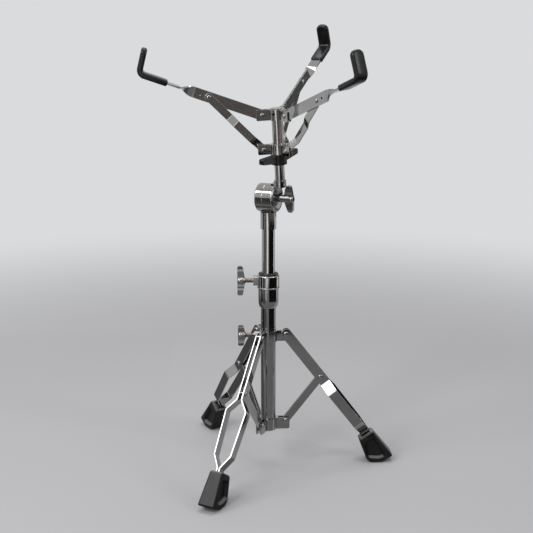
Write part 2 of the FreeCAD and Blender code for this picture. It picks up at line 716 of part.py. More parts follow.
def make_tilter_head():
    head_frame = tilter_frame * turn(X_AXIS, "Sizes.basket_tilt")
    body = new_body("tilter_head", head_frame)
    radius = "Sizes.drum_diameter / 2"
    bolt = "Sizes.bolt_diameter / 2 + Sizes.running_fit"
    inner = "Sizes.drum_right_length + Sizes.side_clearance"
    outer = f"{inner} + Sizes.head_disc_length"
    dish = f"{outer} - Sizes.dish_depth"
    boss = "Sizes.head_boss_diameter / 2"
    sketch = new_sketch(body, "XZ_Plane")
    draw_path(sketch, [(inner, bolt), (inner, radius), (outer, radius, "Sizes.cap_round"),
                       (outer, f"{radius} - Sizes.dish_rim"), (dish, f"{radius} - 2 * Sizes.dish_rim"),
                       (dish, boss), (outer, boss), (outer, bolt)])
    revolve(body, sketch, "H_Axis")
    sketch = new_sketch(body, "XY_Plane", "Sizes.socket_foot")
    draw_circle(sketch, "Sizes.socket_diameter", "Sizes.rod_offset")
    pad(body, sketch, "Sizes.socket_top - Sizes.socket_foot")
    sketch = new_sketch(body, "XY_Plane", "Sizes.socket_foot")
    half = "Sizes.bridge_width / 2"
    draw_path(sketch, box_corners(inner, "Sizes.rod_offset", f"-{half}", half))
    pad(body, sketch, "Sizes.bridge_top - Sizes.socket_foot")
    sketch = new_sketch(body, "XY_Plane", "Sizes.socket_top + Sizes.overrun")
    draw_circle(sketch, "Sizes.rod_thread_diameter + 2 * Sizes.fixed_fit", "Sizes.rod_offset")
    pocket(body, sketch, "Sizes.socket_rod_depth + Sizes.overrun")


nut_seat = "(Sizes.drum_right_length + 2 * Sizes.side_clearance + Sizes.head_disc_length)"


def make_tilter_bolt():
    body = new_body("tilter_bolt", tilter_frame)
    outer = "-Sizes.drum_left_length - Sizes.cap_length"
    seat = f"{outer} + Sizes.tilter_bolt_head_depth"
    shank = "Sizes.bolt_diameter / 2"
    end = f"{nut_seat} + Sizes.wing_nut_length - Sizes.wing_hub_diameter / 4"
    sketch = new_sketch(body, "XZ_Plane")
    head = "Sizes.tilter_bolt_head_diameter / 2"
    draw_path(sketch, [(outer, "0"), (outer, head), (seat, head), (seat, shank), (end, shank), (end, "0")])
    revolve(body, sketch, "H_Axis")


def make_tilter_wing_nut():
    body = new_body("tilter_wing_nut", tilter_frame * turn(X_AXIS, "Sizes.tilter_nut_turn"))
    bore = "Sizes.bolt_diameter / 2 + Sizes.running_fit"
    hub = "Sizes.wing_hub_diameter / 2"
    end = f"{nut_seat} + Sizes.wing_nut_length"
    sketch = new_sketch(body, "XZ_Plane")
    draw_path(sketch, [(nut_seat, "0"), (nut_seat, hub), (end, hub, f"{hub} * {hub_round_share}"),
                       (end, "0")])
    revolve(body, sketch, "H_Axis")
    tip = f"{end} - Sizes.tilter_wing_sweep"
    wing_outline(body, f"{end} - Sizes.tilter_wing_root_width", f"{tip} - Sizes.tilter_wing_tip_width",
                 tip, end, "Sizes.tilter_wing_span")
    sketch = new_sketch(body, "YZ_Plane", f"{nut_seat} - Sizes.overrun")
    draw_circle(sketch, f"2 * ({bore})")
    pocket(body, sketch, "Sizes.wing_nut_length + 2 * Sizes.overrun", back=True)


# Basket: Z runs up the rod from the tilt axis

nut_top = "(Sizes.lower_hub_height - Sizes.lower_hub_ear_height / 2 - Sizes.side_clearance)"


def make_basket_rod():
    body = new_body("basket_rod", basket_frame)
    thread = "Sizes.rod_thread_diameter / 2"
    plain = "Sizes.rod_diameter / 2"
    foot = "Sizes.socket_top - Sizes.socket_rod_depth"
    step = f"{nut_top} + Sizes.running_fit"
    top = "Sizes.upper_hub_height + Sizes.upper_hub_ear_height / 2 + Sizes.rod_top_height"
    sketch = new_sketch(body, "XZ_Plane")
    draw_path(sketch, [("0", foot), (thread, foot), (thread, step), (plain, step), (plain, top), ("0", top)])
    revolve(body, sketch, "V_Axis")


def make_hub(label, height, ear_height, gap, bore_fit, pierced):
    frame = basket_frame * shift(z=height) * turn(Z_AXIS, "Sizes.basket_turn")
    body = new_body(label, frame)
    half = f"{ear_height} / 2"
    width = f"({gap} + 2 * Sizes.hub_gauge)"
    ring_with_ears(body, "Sizes.hub_diameter", f"Sizes.rod_diameter + 2 * {bore_fit}", f"-{half}", half,
                   "Sizes.hub_pivot_reach + Sizes.hub_ear_margin", width, gap, "Sizes.hub_ear_round",
                   (pierced, "Sizes.hub_pivot_reach"))
    pins = new_body(f"{label}_rivets", frame)
    head = "Sizes.small_rivet_head_diameter"
    rise = "Sizes.small_rivet_head_height"
    if label == "upper_hub":
        around(pins, [rivet(pins, "Sizes.hub_pivot_reach", width, head, rise)])
        return
    pair = [half_rivet(pins, "Sizes.hub_pivot_reach", f"{width} / 2", "Sizes.hub_gauge", head, rise, side)
            for side in (1, -1)]
    around(pins, pair)


def make_basket_nut():
    body = new_body("basket_nut", basket_frame * shift(z=nut_top) * turn(Z_AXIS, "Sizes.nut_turn"))
    sketch = new_sketch(body, "XY_Plane")
    draw_circle(sketch, "Sizes.nut_diameter")
    pad(body, sketch, "Sizes.nut_height", back=True)
    half = "Sizes.nut_wing_span / 2"
    root = "-Sizes.nut_wing_root_height"
    tip = "-Sizes.nut_wing_tip_height"
    edge = "Sizes.nut_wing_round"
    sketch = new_sketch(body, "XZ_Plane")
    draw_path(sketch, [(f"-{half}", "0", edge), (f"-{half}", tip, edge), ("0", root), (half, tip, edge),
                       (half, "0", edge)])
    pad(body, sketch, "Sizes.nut_wing_gauge", symmetric=True)
    sketch = new_sketch(body, "XY_Plane", "Sizes.overrun")
    draw_circle(sketch, "Sizes.rod_thread_diameter + 2 * Sizes.running_fit")
    pocket(body, sketch, "Sizes.nut_height + 2 * Sizes.overrun")


twist_end = "(Sizes.twist_start + Sizes.twist_length)"
sleeve_start = f"({twist_end} + Sizes.sleeve_gap)"


def arm_frame(azimuth):
    """X runs out along the arm from its pivot, Y across its face, Z up square to it."""
    pivot = shift(x="Sizes.hub_pivot_reach", z="Sizes.upper_hub_height")
    around_rod = turn(Z_AXIS, f"Sizes.basket_turn + {azimuth}")
    return basket_frame * around_rod * pivot * turn(Y_AXIS, "-Sizes.arm_rise")


def make_arm(name, azimuth):
    frame = arm_frame(azimuth)
    half = "Sizes.arm_width / 2"
    thin = "Sizes.arm_gauge / 2"
    tip_out = "Sizes.arm_corner + Sizes.upright_length * cos(Sizes.upright_angle)"
    tip_up = "Sizes.upright_length * sin(Sizes.upright_angle)"
    body = new_body(f"arm_{name}", frame)
    sketch = new_sketch(body, "XZ_Plane")
    start = "-Sizes.arm_end_margin"
    end_round = f"{half} * {plate_end_share}"
    draw_path(sketch, [(start, f"-{half}", end_round), ("Sizes.twist_start", f"-{half}"),
                       ("Sizes.twist_start", half), (start, half, end_round)])
    pad(body, sketch, "Sizes.arm_gauge", symmetric=True)
    sections = []
    for quarter in range(5):
        lift = f"Sizes.twist_start + Sizes.twist_length * {quarter} / 4"
        section = new_sketch(body, "YZ_Plane", lift, f"-{quarter} * 90 / 4")
        draw_path(section, box_corners(f"-{thin}", thin, f"-{half}", half))
        sections.append(section)
    twist = body.newObject("PartDesign::AdditiveLoft", "twist")
    twist.Profile = sections[0]
    twist.Sections = sections[1:]
    doc.recompute()
    spine = new_sketch(body, "XZ_Plane")
    draw_path(spine, [(twist_end, "0"), ("Sizes.arm_corner", "0", "Sizes.arm_corner_radius"),
                      (tip_out, tip_up)], False)
    profile = new_sketch(body, "YZ_Plane", twist_end)
    draw_path(profile, box_corners(f"-{half}", half, f"-{thin}", thin))
    sweep(body, profile, spine)
    sketch = new_sketch(body, "XZ_Plane")
    draw_circle(sketch, rivet_hole)
    draw_circle(sketch, "Sizes.rivet_diameter + 2 * Sizes.fixed_fit", "Sizes.strut_hole_distance")
    draw_circle(sketch, "Sizes.spare_hole_diameter", "Sizes.spare_hole_distance")
    pocket(body, sketch, "Sizes.arm_gauge + Sizes.overrun", symmetric=True)
    make_sleeve(f"arm_{name}_sleeve", frame)
    pins = new_body(f"arm_{name}_rivet", frame)
    grip = "Sizes.arm_gauge + Sizes.side_clearance + Sizes.strut_gauge"
    middle = "((Sizes.side_clearance + Sizes.strut_gauge) / 2)"
    rivet(pins, "Sizes.strut_hole_distance", grip, "Sizes.small_rivet_head_diameter",
          "Sizes.small_rivet_head_height", middle)


def make_sleeve(label, frame):
    body = new_body(label, frame)
    length = "(Sizes.upright_length + Sizes.sleeve_tip_wall)"
    wide = "Sizes.sleeve_width / 2"
    deep = "Sizes.sleeve_depth / 2"
    for inside in (False, True):
        reach = "Sizes.upright_length" if inside else length
        start = f"{sleeve_start} - Sizes.overrun" if inside else sleeve_start
        spine = new_sketch(body, "XZ_Plane")
        draw_path(spine, [(start, "0"), ("Sizes.arm_corner", "0", "Sizes.arm_corner_radius"),
                          (f"Sizes.arm_corner + {reach} * cos(Sizes.upright_angle)",
                           f"{reach} * sin(Sizes.upright_angle)")], False)
        profile = new_sketch(body, "YZ_Plane", start)
        if inside:
            across = "(Sizes.arm_width / 2 + Sizes.fixed_fit)"
            tall = "(Sizes.arm_gauge / 2 + Sizes.fixed_fit)"
            draw_path(profile, box_corners(f"-{across}", across, f"-{tall}", tall))
            sweep(body, profile, spine, "PartDesign::SubtractivePipe")
        else:
            draw_path(profile, box_corners(f"-{wide}", wide, f"-{deep}", deep, "Sizes.sleeve_round"))
            sweep(body, profile, spine)
            tip_face = number(f"Sizes.arm_corner * cos(Sizes.upright_angle) + {length} - Sizes.fixed_fit")
            lean = V(number("cos(Sizes.upright_angle)"), 0, number("sin(Sizes.upright_angle)"))
            round_edges(body, "Sizes.sleeve_tip_round",
                        lambda edge: min(corner.Point.dot(lean) for corner in edge.Vertexes) > tip_face)


strut_out = "(Sizes.strut_hole_distance * cos(Sizes.arm_rise))"
strut_up = ("(Sizes.upper_hub_height - Sizes.lower_hub_height"
            " + Sizes.strut_hole_distance * sin(Sizes.arm_rise))")
strut_length = f"sqrt({strut_out} * {strut_out} + {strut_up} * {strut_up})"
strut_rise = f"atan2({strut_up}; {strut_out})"


def make_strut(name, azimuth):
    """X runs up the strut from the lower hub to the arm's rivet; it jogs clear of the hub's ears."""
    pivot = shift(x="Sizes.hub_pivot_reach", z="Sizes.lower_hub_height")
    frame = (basket_frame * turn(Z_AXIS, f"Sizes.basket_turn + {azimuth}") * pivot
             * turn(Y_AXIS, f"-({strut_rise})"))
    body = new_body(f"strut_{name}", frame)
    beside_arm = "(Sizes.arm_gauge / 2 + Sizes.side_clearance + Sizes.strut_gauge / 2)"
    proud = f"({beside_arm} + Sizes.strut_side_step)"
    bend = "Sizes.strut_bend_radius"
    spine = new_sketch(body, "XY_Plane")
    draw_path(spine, [("-Sizes.strut_end_margin", "0"), ("Sizes.strut_low_bend", "0", bend),
                      ("Sizes.strut_low_bend + Sizes.strut_low_bend_length", proud, bend),
                      ("Sizes.strut_high_bend", proud, bend),
                      ("Sizes.strut_high_bend + Sizes.strut_high_bend_length", beside_arm, bend),
                      (f"{strut_length} + Sizes.strut_end_margin", beside_arm)], False)
    profile = new_sketch(body, "YZ_Plane", "-Sizes.strut_end_margin")
    thin = "Sizes.strut_gauge / 2"
    half = "Sizes.strut_width / 2"
    draw_path(profile, box_corners(f"-{thin}", thin, f"-{half}", half))
    sweep(body, profile, spine)
    sketch = new_sketch(body, "XZ_Plane")
    draw_circle(sketch, rivet_hole, strut_length)
    pocket(body, sketch, "Sizes.arm_width", symmetric=True)
    ends = (number("-Sizes.strut_end_margin"), number(f"{strut_length} + Sizes.strut_end_margin"))
    near = number("Sizes.fixed_fit")
    round_edges(body, f"{half} * {plate_end_share}",
                lambda edge: edge.Length < number(f"Sizes.strut_gauge * {short_edge_share}")
                and min(abs(edge.BoundBox.Center.x - end) for end in ends) < near)


make_base_tube()
make_lower_collar()
make_leg_collar()
make_wing_bolt("leg_collar_wing_bolt", f"{leg_pivot_height} - Sizes.collar_bolt_depth",
               "Sizes.base_tube_diameter / 2 + Sizes.side_clearance",
               "Sizes.collar_wing_reach", "Sizes.collar_wing_span")
for leg_name, leg_azimuth in leg_angles.items():
    make_leg(leg_name, leg_azimuth)
make_height_clamp()
make_bushing()
make_wing_bolt("height_wing_bolt", f"{clamp_foot_height} + Sizes.clamp_bolt_height",
               f"{bushing_seat} / 2 + Sizes.side_clearance",
               "Sizes.height_wing_reach", "Sizes.height_wing_span")
make_upper_tube()
make_tilter_base()
make_tilter_cap()
make_tilter_head()
make_tilter_bolt()
make_tilter_wing_nut()
make_basket_rod()
make_hub("upper_hub", "Sizes.upper_hub_height", "Sizes.upper_hub_ear_height",
         "(Sizes.arm_gauge + 2 * Sizes.side_clearance)", "Sizes.fixed_fit", rivet_hole)
make_hub("lower_hub", "Sizes.lower_hub_height", "Sizes.lower_hub_ear_height",
         "(Sizes.strut_gauge + 2 * Sizes.side_clearance)", "Sizes.running_fit", rivet_hole)
make_basket_nut()
for arm_name, arm_azimuth in arm_angles.items():
    make_arm(arm_name, arm_azimuth)
    make_strut(arm_name, arm_azimuth)

doc.recompute()
for item in doc.Objects:
    if {"Invalid", "Error"} & set(item.State):
        raise RuntimeError(f"{item.Label} failed: {item.State}")
for item in sub_parts:
    if item.Shape.isNull() or not item.Shape.isValid() or not item.Shape.Solids:
        raise RuntimeError(f"{item.Label} has no valid solid")

os.makedirs("parts", exist_ok=True)
for item in sub_parts:
    item.Shape.exportStep(f"parts/{item.Label}.step")
    print(item.Label, len(item.Shape.Solids), round(item.Shape.Volume))
whole = Part.makeCompound([item.Shape for item in sub_parts]).BoundBox
print("box x", round(whole.XMin, 1), round(whole.XMax, 1), "y", round(whole.YMin, 1), round(whole.YMax, 1),
      "z", round(whole.ZMin, 1), round(whole.ZMax, 1))
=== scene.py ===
import bmesh
import bpy
import json
import math
from mathutils import Matrix, Vector

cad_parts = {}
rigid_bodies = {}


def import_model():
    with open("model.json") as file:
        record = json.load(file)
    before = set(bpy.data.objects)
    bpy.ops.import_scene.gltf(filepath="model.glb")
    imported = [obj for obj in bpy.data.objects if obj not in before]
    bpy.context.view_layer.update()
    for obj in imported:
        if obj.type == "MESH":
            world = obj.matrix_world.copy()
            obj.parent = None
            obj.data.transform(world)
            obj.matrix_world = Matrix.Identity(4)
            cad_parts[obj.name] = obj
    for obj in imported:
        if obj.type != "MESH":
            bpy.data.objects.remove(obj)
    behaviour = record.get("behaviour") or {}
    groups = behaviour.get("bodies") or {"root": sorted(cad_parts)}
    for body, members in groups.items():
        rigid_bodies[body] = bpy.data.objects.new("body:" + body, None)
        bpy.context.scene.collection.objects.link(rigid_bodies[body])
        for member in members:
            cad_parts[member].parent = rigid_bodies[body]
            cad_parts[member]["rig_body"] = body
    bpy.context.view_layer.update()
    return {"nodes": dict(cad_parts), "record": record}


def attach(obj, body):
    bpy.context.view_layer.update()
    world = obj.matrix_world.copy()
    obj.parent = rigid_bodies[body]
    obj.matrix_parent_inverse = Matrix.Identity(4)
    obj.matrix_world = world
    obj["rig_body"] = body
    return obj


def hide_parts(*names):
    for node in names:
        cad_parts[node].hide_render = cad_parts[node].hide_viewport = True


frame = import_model()
nodes = frame["nodes"]
slotOf = {item["node"]: item["material_slot"] for item in frame["record"]["subparts"]}
mm = 0.001
print("frame loaded:", len(nodes), "nodes")

# where the stand's own frames are, in mm and degrees, as in the solids
stance = {"column": (-6.0, 11.4), "boltHeight": 326.95, "collarBoltHeight": 231.64,
          "legLength": 294.5, "legLean": 37.5, "pivotReach": 30.0,
          "legTurns": {"right": 0, "back": 120, "front": 240},
          "tilterHeight": 466.95, "tilterTurn": -27.4, "tilterNutTurn": 13.0, "basketTilt": 6.95,
          "rodOffset": 22.3, "upperHub": 138.6, "hubPivotReach": 23.8, "basketTurn": 209.1,
          "armRise": 22.4, "armTurns": {"left": 0, "front": 120, "back": 240}}


def turned(degrees, axis):
    return Matrix.Rotation(math.radians(degrees), 4, axis)


def moved(x=0.0, y=0.0, z=0.0):
    return Matrix.Translation(Vector((x, y, z)) * mm)


column = moved(*stance["column"])
tilter = column @ moved(z=stance["tilterHeight"]) @ turned(stance["tilterTurn"], "Z")
basket = tilter @ turned(stance["basketTilt"], "X") @ moved(stance["rodOffset"])


# materials

def linear(hexCode):
    channels = [int(hexCode[i:i + 2], 16) / 255 for i in (1, 3, 5)]
    return [c / 12.92 if c <= 0.04045 else ((c + 0.055) / 1.055) ** 2.4 for c in channels] + [1.0]


def addNode(tree, kind, values=None, links=None, **settings):
    node = tree.nodes.new(kind)
    for name, value in settings.items():
        setattr(node, name, value)
    for name, value in (values or {}).items():
        node.inputs[name].default_value = value
    for name, socket in (links or {}).items():
        tree.links.new(socket, node.inputs[name])
    return node


def startMaterial(name):
    material = bpy.data.materials.new(name)
    material.use_nodes = True
    material.node_tree.nodes.clear()
    return material, material.node_tree


def perMetre(sizeMm):
    return 1.0 / (sizeMm * mm)  # texture scale that gives a pattern of that size


# plated, oxidised or oiled steel and castings: smooth, with slight waves and the haze of handling
def platedMetal(name, look):
    material, tree = startMaterial(name)
    place = addNode(tree, "ShaderNodeTexCoord").outputs["Object"]
    waves = addNode(tree, "ShaderNodeTexNoise", {"Scale": perMetre(look["waveMm"]), "Detail": 2.0},
                    {"Vector": place})
    bump = addNode(tree, "ShaderNodeBump", {"Strength": look["waveStrength"], "Distance": 0.4 * mm},
                   {"Height": waves.outputs["Fac"]})
    haze = addNode(tree, "ShaderNodeTexNoise", {"Scale": perMetre(look["hazeMm"]), "Detail": 5.0,
                                                "Roughness": 0.6}, {"Vector": place})
    rough = addNode(tree, "ShaderNodeMapRange", {"From Min": 0.35, "From Max": 0.75, "To Min": look["smooth"],
                                                 "To Max": look["dull"]}, {"Value": haze.outputs["Fac"]})
    tone = addNode(tree, "ShaderNodeValToRGB", links={"Fac": haze.outputs["Fac"]})
    tone.color_ramp.elements[0].position = 0.3
    tone.color_ramp.elements[0].color = linear(look["bright"])
    tone.color_ramp.elements[1].position = 0.75
    tone.color_ramp.elements[1].color = linear(look["hazy"])
    shader = addNode(tree, "ShaderNodeBsdfPrincipled", {"Metallic": 1.0},
                     {"Base Color": tone.outputs["Color"], "Roughness": rough.outputs["Result"],
                      "Normal": bump.outputs["Normal"]})
    addNode(tree, "ShaderNodeOutputMaterial", links={"Surface": shader.outputs["BSDF"]})
    return material


topHighlightGrey = "#767573"  # painted highlight: the light grey that faces looking up are mixed towards, as if lit from above


# moulded black goods: rubber, vinyl, plastic and nylon differ in gloss, grain and dust; the boots also get a
# painted highlight on faces that look up
def mouldedBlack(name, look):
    material, tree = startMaterial(name)
    place = addNode(tree, "ShaderNodeTexCoord").outputs["Object"]
    grain = addNode(tree, "ShaderNodeTexNoise", {"Scale": perMetre(look["grainMm"]), "Detail": 3.0},
                    {"Vector": place})
    bump = addNode(tree, "ShaderNodeBump", {"Strength": look["grainStrength"], "Distance": 0.3 * mm},
                   {"Height": grain.outputs["Fac"]})
    dust = addNode(tree, "ShaderNodeTexNoise", {"Scale": perMetre(look["dustMm"]), "Detail": 6.0,
                                                "Roughness": 0.65}, {"Vector": place})
    tone = addNode(tree, "ShaderNodeValToRGB", links={"Fac": dust.outputs["Fac"]})
    tone.color_ramp.elements[0].position = 0.4
    tone.color_ramp.elements[0].color = linear(look["base"])
    tone.color_ramp.elements[1].position = 0.8
    tone.color_ramp.elements[1].color = linear(look["dusty"])
    rough = addNode(tree, "ShaderNodeMapRange", {"From Min": 0.3, "From Max": 0.75, "To Min": look["smooth"],
                                                 "To Max": look["dull"]}, {"Value": dust.outputs["Fac"]})
    paintedTopHighlight = addNode(tree, "ShaderNodeAttribute", attribute_name="paintedTopHighlight")  # only the boots carry this
    # painted highlight: faces that look up are mixed towards light grey
    highlightShare = addNode(tree, "ShaderNodeMapRange", {"From Min": 0.55, "From Max": 1.0},
                      {"Value": paintedTopHighlight.outputs["Fac"]})
    highlighted = addNode(tree, "ShaderNodeMixRGB", {"Color2": linear(topHighlightGrey)},
                   {"Fac": highlightShare.outputs["Result"], "Color1": tone.outputs["Color"]})
    shader = addNode(tree, "ShaderNodeBsdfPrincipled",
                     {"IOR": look["ior"], "Specular IOR Level": look["gloss"]},
                     {"Base Color": highlighted.outputs["Color"], "Roughness": rough.outputs["Result"],
                      "Normal": bump.outputs["Normal"]})
    addNode(tree, "ShaderNodeOutputMaterial", links={"Surface": shader.outputs["BSDF"]})
    return material


finishes = {
    # rolled strip and drawn tube under chrome: a clean mirror with long soft waves
    "chromed_steel": platedMetal("chromePlatedSteel", {
        "waveMm": 24, "waveStrength": 0.035, "hazeMm": 40, "smooth": 0.05, "dull": 0.12,
        "bright": "#ACABA9", "hazy": "#9C9A98"}),
    # die castings under chrome: shorter waves and a little more haze
    "chromed_casting": platedMetal("chromePlatedCasting", {
        "waveMm": 14, "waveStrength": 0.06, "hazeMm": 25, "smooth": 0.06, "dull": 0.15,
        "bright": "#A9A8A6", "hazy": "#989694"}),
    # moulded rubber: a fine grain and a broad low sheen
    "black_rubber": mouldedBlack("mouldedRubber", {
        "grainMm": 1.1, "grainStrength": 0.25, "dustMm": 22, "base": "#0F0F10", "dusty": "#1C1C1C",
        "smooth": 0.34, "dull": 0.56, "ior": 1.52, "gloss": 0.25}),
    # dipped vinyl: smooth and wet-looking, with slow waves
    "black_vinyl": mouldedBlack("dippedVinyl", {
        "grainMm": 5, "grainStrength": 0.08, "dustMm": 18, "base": "#0A0A0B", "dusty": "#131314",
        "smooth": 0.16, "dull": 0.34, "ior": 1.53, "gloss": 0.3}),
    # moulded ABS: a fine etched grain with a soft sheen
    "black_plastic": mouldedBlack("mouldedAbs", {
        "grainMm": 1.4, "grainStrength": 0.12, "dustMm": 14, "base": "#0E0E0F", "dusty": "#1A1A1B",
        "smooth": 0.3, "dull": 0.48, "ior": 1.54, "gloss": 0.3}),
    # turned nylon: the greyest and dullest of the blacks
    "black_nylon": mouldedBlack("turnedNylon", {
        "grainMm": 1.6, "grainStrength": 0.1, "dustMm": 12, "base": "#131313", "dusty": "#232322",
        "smooth": 0.4, "dull": 0.6, "ior": 1.53, "gloss": 0.35}),
}
# blackened steel: a thin dark oxide with a low sheen
blackOxide = platedMetal("blackOxideSteel", {
    "waveMm": 2, "waveStrength": 0.08, "hazeMm": 3, "smooth": 0.35, "dull": 0.55,
    "bright": "#2A2A2B", "hazy": "#1B1B1C"})
# cut steel, darker, browner and duller than the plate around it
boltSteel = platedMetal("darkBrownSteel", {
    "waveMm": 3, "waveStrength": 0.1, "hazeMm": 6, "smooth": 0.22, "dull": 0.4,
    "bright": "#8B8075", "hazy": "#5E554D"})
for nodeName, node in nodes.items():
    node.data.materials.clear()
    node.data.materials.append(finishes[slotOf[nodeName]])
print("finishes made:", len(finishes))


# pieces

# how closely meshes are cut, merged and compared, in mm
closeness = {"cut": 0.001, "solid": 0.003, "near": 0.01}
# which edges are flat enough to drop, sharp enough to break and soft enough to shade over, in degrees
angles = {"flat": 0.4, "sharp": 38, "soft": 32}


def vertsOf(geom):
    return [item for item in geom if isinstance(item, bmesh.types.BMVert)]


def edgesOf(geom):
    return [item for item in geom if isinstance(item, bmesh.types.BMEdge)]


def sharpEdges(bm, degrees):
    return [edge for edge in bm.edges if edge.calc_face_angle(0) > math.radians(degrees)]


def rounded(bm, geom, size, steps, affect="EDGES"):
    bmesh.ops.bevel(bm, geom=geom, offset=size * mm, offset_type="OFFSET", affect=affect, segments=steps,
                    profile=0.5, material=-1, clamp_overlap=True)


def cutAcross(bm, point, normal):
    bmesh.ops.bisect_plane(bm, geom=[*bm.verts, *bm.edges, *bm.faces], dist=closeness["cut"] * mm,
                           plane_co=point, plane_no=normal)


def finishPiece(name, bm, material, body, replaced=None, softAngle=angles["soft"]):
    for face in bm.faces:
        face.smooth = True
    for edge in bm.edges:
        edge.smooth = len(edge.link_faces) == 2 and edge.calc_face_angle(0) < math.radians(softAngle)
    mesh = bpy.data.meshes.new(name)
    bm.to_mesh(mesh)
    bm.free()
    mesh.materials.append(material)
    piece = bpy.data.objects.new(name, mesh)
    bpy.context.scene.collection.objects.link(piece)
    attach(piece, body)
    if replaced:
        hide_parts(replaced)
    return piece


def keepFlats(piece):
    piece.modifiers.new("flatFaces", "WEIGHTED_NORMAL").keep_sharp = True


# cast wings swell between hub and tip, in mm out from the bolt's axis, and thicken by this share halfway
wingForm = {"root": 8.4, "steps": 9, "swell": 0.3,
            "tips": {"height_wing_bolt": 25.0, "leg_collar_wing_bolt": 18.0, "tilter_wing_nut": 24.0}}
wingPlaces = {"height_wing_bolt": column @ moved(z=stance["boltHeight"]),
              "leg_collar_wing_bolt": column @ moved(z=stance["collarBoltHeight"]),
              "tilter_wing_nut": tilter @ turned(stance["tilterNutTurn"], "X")}


def swellWings(bm, nodeName):
    form = wingForm
    place = wingPlaces[nodeName]
    root = form["root"] * mm
    tip = form["tips"][nodeName] * mm
    for i in range(form["steps"] + 1):
        reach = root + (tip - root) * i / form["steps"]
        for out in (-reach, reach):
            cutAcross(bm, place @ Vector((0, 0, out)), place.col[2].to_3d())
    for vert in bm.verts:
        local = place.inverted() @ vert.co
        share = min(max((abs(local.z) - root) / (tip - root), 0), 1)
        local.y *= 1 + form["swell"] * 4 * share * (1 - share)  # the full swell halfway, none at the ends
        vert.co = place @ local


# the height clamp's cup rounds in to the tube below, in mm from the cup's foot
cupForm = {"foot": 280.95, "rings": [0.5, 1.2, 2.2, 3.5, 5.0, 7.0, 9.5, 12.5, 16.0], "round": 16.0,
           "footRadius": 13.4, "radius": 17.25, "boreClear": 0.7}


def roundCup(bm):
    form = cupForm
    place = moved(*stance["column"], form["foot"])
    for up in form["rings"]:
        cutAcross(bm, place @ (Vector((0, 0, up)) * mm), (0, 0, 1))
    for vert in bm.verts:
        local = place.inverted() @ vert.co
        radius = math.hypot(local.x, local.y)
        share = 1 - local.z / (form["round"] * mm)
        if share > 0 and radius > (form["footRadius"] + form["boreClear"]) * mm:
            bulge = math.sqrt(1 - min(share, 1) ** 2)
            reach = form["footRadius"] + (form["radius"] - form["footRadius"]) * bulge
            vert.co = place @ Vector((local.x * reach * mm / radius, local.y * reach * mm / radius, local.z))


# pressed, drawn and cast metal has no knife edges: how much each solid's edges are broken, in mm,
# by the first of these words in its name
edgeBreaks = {"wing": 1.1, "strut": 0.45, "strip": 0.75, "brace": 0.4, "collar": 0.6, "bushing": 0.2,
              "clamp": 0.5, "tilter": 0.95, "nut": 1.6, "hub": 0.5, "rod": 0.3, "tube": 0.3}
breakSteps = 2


def brokenEdges(nodeName):
    bm = bmesh.new()
    bm.from_mesh(nodes[nodeName].data)
    bmesh.ops.remove_doubles(bm, verts=bm.verts, dist=closeness["solid"] * mm)
    bmesh.ops.dissolve_limit(bm, angle_limit=math.radians(angles["flat"]), verts=bm.verts, edges=bm.edges)
    size = next(size for word, size in edgeBreaks.items() if word in nodeName)
    rounded(bm, sharpEdges(bm, angles["sharp"]), size, breakSteps)
    if nodeName == "height_clamp":
        roundCup(bm)
    if nodeName in wingPlaces:
        swellWings(bm, nodeName)
    slot = slotOf[nodeName]
    keepFlats(finishPiece(nodeName + "_finished", bm, finishes[slot], nodes[nodeName]["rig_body"],
                          nodeName))


ownForms = ["arm_left", "arm_front", "arm_back"]  # made below from their own forms
for nodeName in sorted(nodes):
    if nodeName not in ownForms and not nodeName.endswith(("_rivet", "_rivets", "_boot", "_sleeve")):
        brokenEdges(nodeName)
print("edges broken")


# rubber boots: points outwards and up, in mm, from where the leg's line meets the floor
bootForm = {"outline": [(-36.0, 0.0), (-12.0, 0.0), (8.2, 11.4), (-28.9, 57.4), (-52.0, 41.5)],
            "recess": [(-37.0, 9.5), (-16.0, 7.5), (-4.5, 12.5), (-25.0, 46.0), (-44.0, 36.5)],
            "soleHalf": 16.0, "topHalf": 11.6, "heelRound": 8.0, "heelSteps": 5,
            "edgeRound": 3.6, "edgeSteps": 4, "edgeAngle": 20, "recessRound": 5.5, "recessRoundSteps": 6,
            "recessSteps": [(0.4, 0.5), (2.8, 4.9)], "mouthRim": 2.6, "mouthSlope": 0.6, "mouthDepth": 3.0,
            "softAngle": 40}


def bootHalf(up):
    top = bootForm["outline"][3][1]
    return bootForm["soleHalf"] + (bootForm["topHalf"] - bootForm["soleHalf"]) * (up / top)


